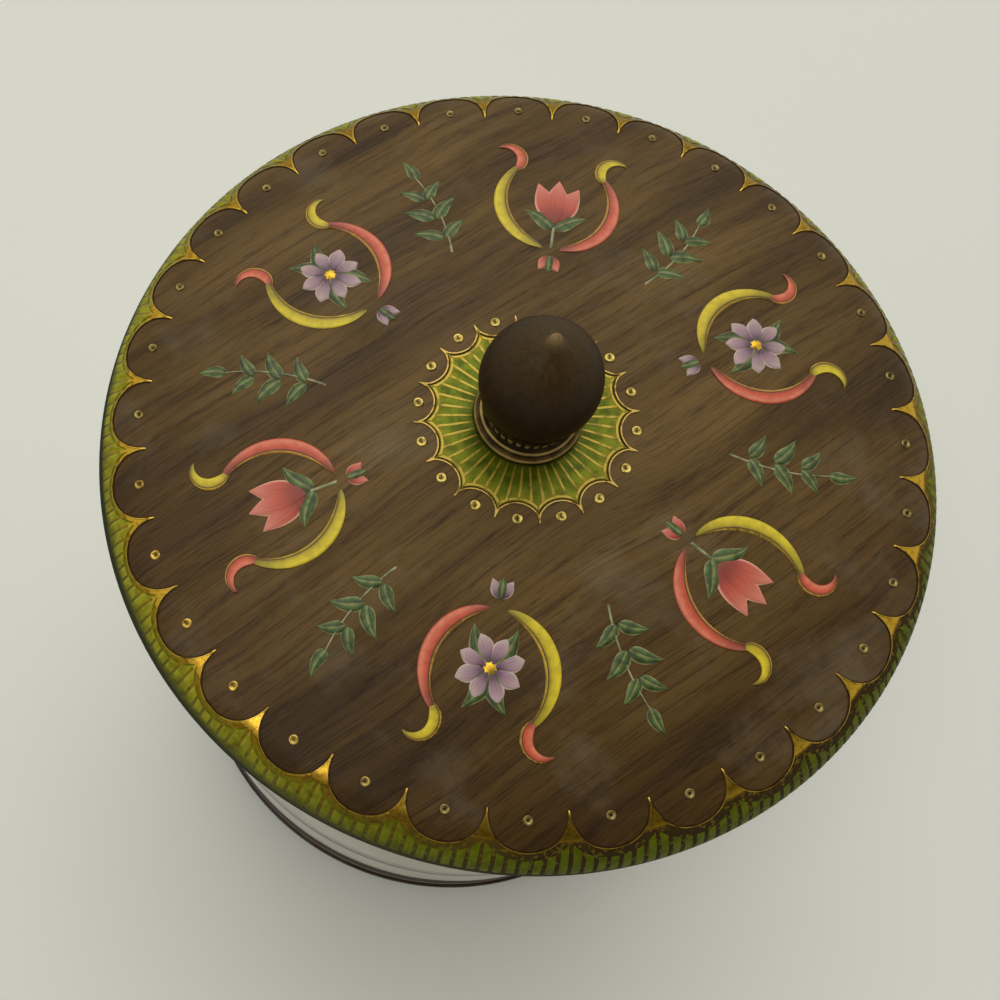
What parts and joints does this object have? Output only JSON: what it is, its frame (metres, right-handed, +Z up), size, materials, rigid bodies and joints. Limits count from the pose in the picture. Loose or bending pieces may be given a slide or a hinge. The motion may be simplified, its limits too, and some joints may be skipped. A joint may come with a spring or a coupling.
{
  "type": "tin canister",
  "caption": "Round sheet-metal storage canister with a crowned lift-off lid, a rounded lid shoulder over a curled mouth, and an acorn knob in a fluted metal cup.",
  "frame": {"origin": "centre of the base, on the surface the canister stands on", "axes": "+Z up along the canister's axis; -Y is the side the picture is taken from, and the side seam is at +Y"},
  "size_m": [0.1598, 0.1598, 0.1949],
  "materials": {
    "wall_enamel": "gloss",
    "base_enamel": "gloss",
    "lid_print": "gloss",
    "ferrule_brass": "aged satin",
    "knob_wood": "satin lacquer",
    "insert_brass": "turned",
    "screw_steel": "zinc plated",
    "washer_steel": "zinc plated"
  },
  "bodies": {
    "canister": {"body_wall": "wall_enamel", "bottom_disc": "base_enamel"},
    "lid": {"lid": "lid_print"},
    "knob": {"knob_ferrule": "ferrule_brass", "knob": "knob_wood", "knob_insert": "insert_brass", "knob_screw": "screw_steel", "screw_washer": "washer_steel"}
  },
  "joints": [
    {"name": "lid_lift", "type": "slide", "parent": "canister", "child": "lid", "axis": [0, 0, 1], "range_m": [0, 0.06]},
    {"name": "knob_turn", "type": "hinge", "parent": "lid", "child": "knob", "pos_m": [0, 0, 0.1655], "axis": [0, 0, 1], "continuous": true}
  ]
}
